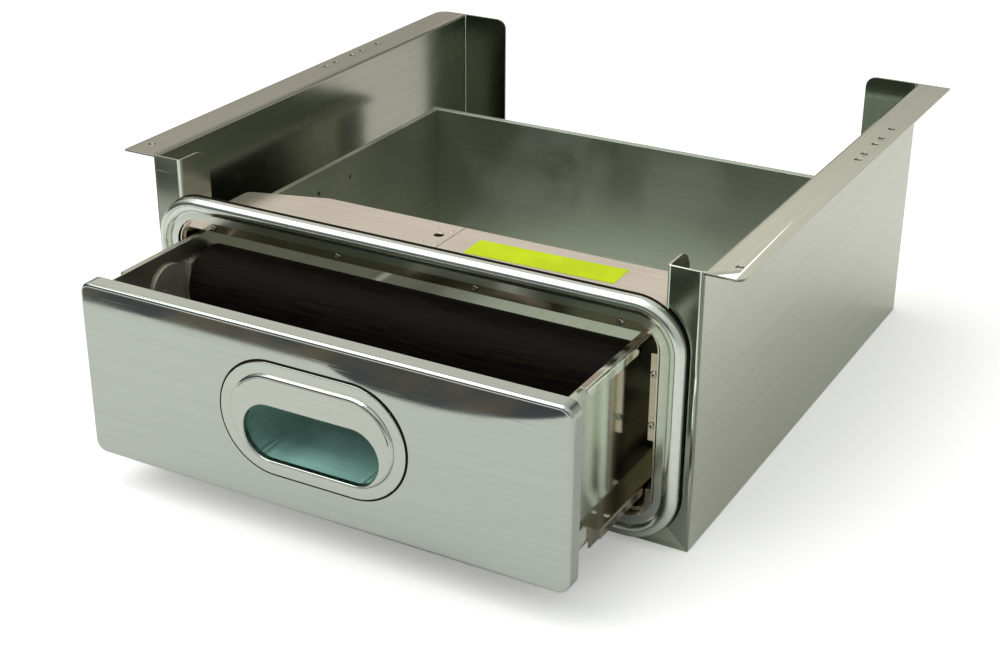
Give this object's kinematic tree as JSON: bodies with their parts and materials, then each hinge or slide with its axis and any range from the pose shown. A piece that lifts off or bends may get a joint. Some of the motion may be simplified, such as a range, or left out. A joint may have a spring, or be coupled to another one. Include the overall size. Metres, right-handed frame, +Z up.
{
  "type": "coffee knock drawer",
  "caption": "Under-counter stainless knock drawer with a rubber-covered bar across its bin, a framed front opening, roller runners and hanging flanges.",
  "frame": {"origin": "centre of the underside of the housing's bottom plate", "axes": "+X to the right as seen from the front, +Y toward the back, +Z up"},
  "size_m": [0.434, 0.5135, 0.1822],
  "materials": {
    "satin_steel": "satin",
    "inner_steel": "satin, in shade",
    "sleeve_steel": "plain mill",
    "polished_steel": "polished",
    "black_rubber": "matt",
    "nylon": "matt",
    "sticker": "satin"
  },
  "bodies": {
    "housing": {"left_side_plate": "satin_steel", "right_side_plate": "satin_steel", "bottom_plate": "satin_steel", "opening_sleeve": "sleeve_steel", "sleeve_joint_strap": "sleeve_steel", "sleeve_rivets": "satin_steel", "size_label": "sticker", "trim_frame": "polished_steel", "window_plate": "inner_steel", "window_plate_screws": "polished_steel", "left_cabinet_rail": "satin_steel", "right_cabinet_rail": "satin_steel", "left_rail_brackets": "satin_steel", "right_rail_brackets": "satin_steel", "rail_screws": "polished_steel", "front_roller_axles": "polished_steel"},
    "drawer": {"front_panel": "satin_steel", "panel_back": "satin_steel", "panel_screws": "polished_steel", "handle_bezel": "polished_steel", "handle_cup": "inner_steel", "drawer_body": "satin_steel", "drawer_front_wall": "inner_steel", "drawer_rear_wall": "inner_steel", "left_drawer_rail": "inner_steel", "right_drawer_rail": "inner_steel", "drawer_rail_rivets": "polished_steel", "rear_roller_axles": "polished_steel", "left_bar_bracket": "inner_steel", "right_bar_bracket": "inner_steel", "bar_bracket_rivets": "polished_steel", "knock_bar_core": "inner_steel", "knock_bar_sleeve": "black_rubber"},
    "front_left_roller": {"left_front_roller": "nylon"},
    "front_right_roller": {"right_front_roller": "nylon"},
    "rear_left_roller": {"left_rear_roller": "nylon"},
    "rear_right_roller": {"right_rear_roller": "nylon"}
  },
  "joints": [
    {"name": "drawer_slide", "type": "slide", "parent": "housing", "child": "drawer", "axis": [0, -1, 0], "range_m": [-0.091, 0.1735]},
    {"name": "left_front_roller_spin", "type": "hinge", "parent": "housing", "child": "front_left_roller", "pos_m": [-0.16125, -0.122, 0.0302], "axis": [1, 0, 0], "continuous": true},
    {"name": "right_front_roller_spin", "type": "hinge", "parent": "housing", "child": "front_right_roller", "pos_m": [0.16125, -0.122, 0.0302], "axis": [1, 0, 0], "continuous": true},
    {"name": "left_rear_roller_spin", "type": "hinge", "parent": "drawer", "child": "rear_left_roller", "pos_m": [-0.1635, 0.0875, 0.0302], "axis": [1, 0, 0], "continuous": true},
    {"name": "right_rear_roller_spin", "type": "hinge", "parent": "drawer", "child": "rear_right_roller", "pos_m": [0.1635, 0.0875, 0.0302], "axis": [1, 0, 0], "continuous": true}
  ],
  "couplings": [
    {"joint": "left_front_roller_spin", "follows": "drawer_slide", "rad_per_m": 125},
    {"joint": "right_front_roller_spin", "follows": "drawer_slide", "rad_per_m": 125},
    {"joint": "left_rear_roller_spin", "follows": "drawer_slide", "rad_per_m": 125},
    {"joint": "right_rear_roller_spin", "follows": "drawer_slide", "rad_per_m": 125}
  ]
}
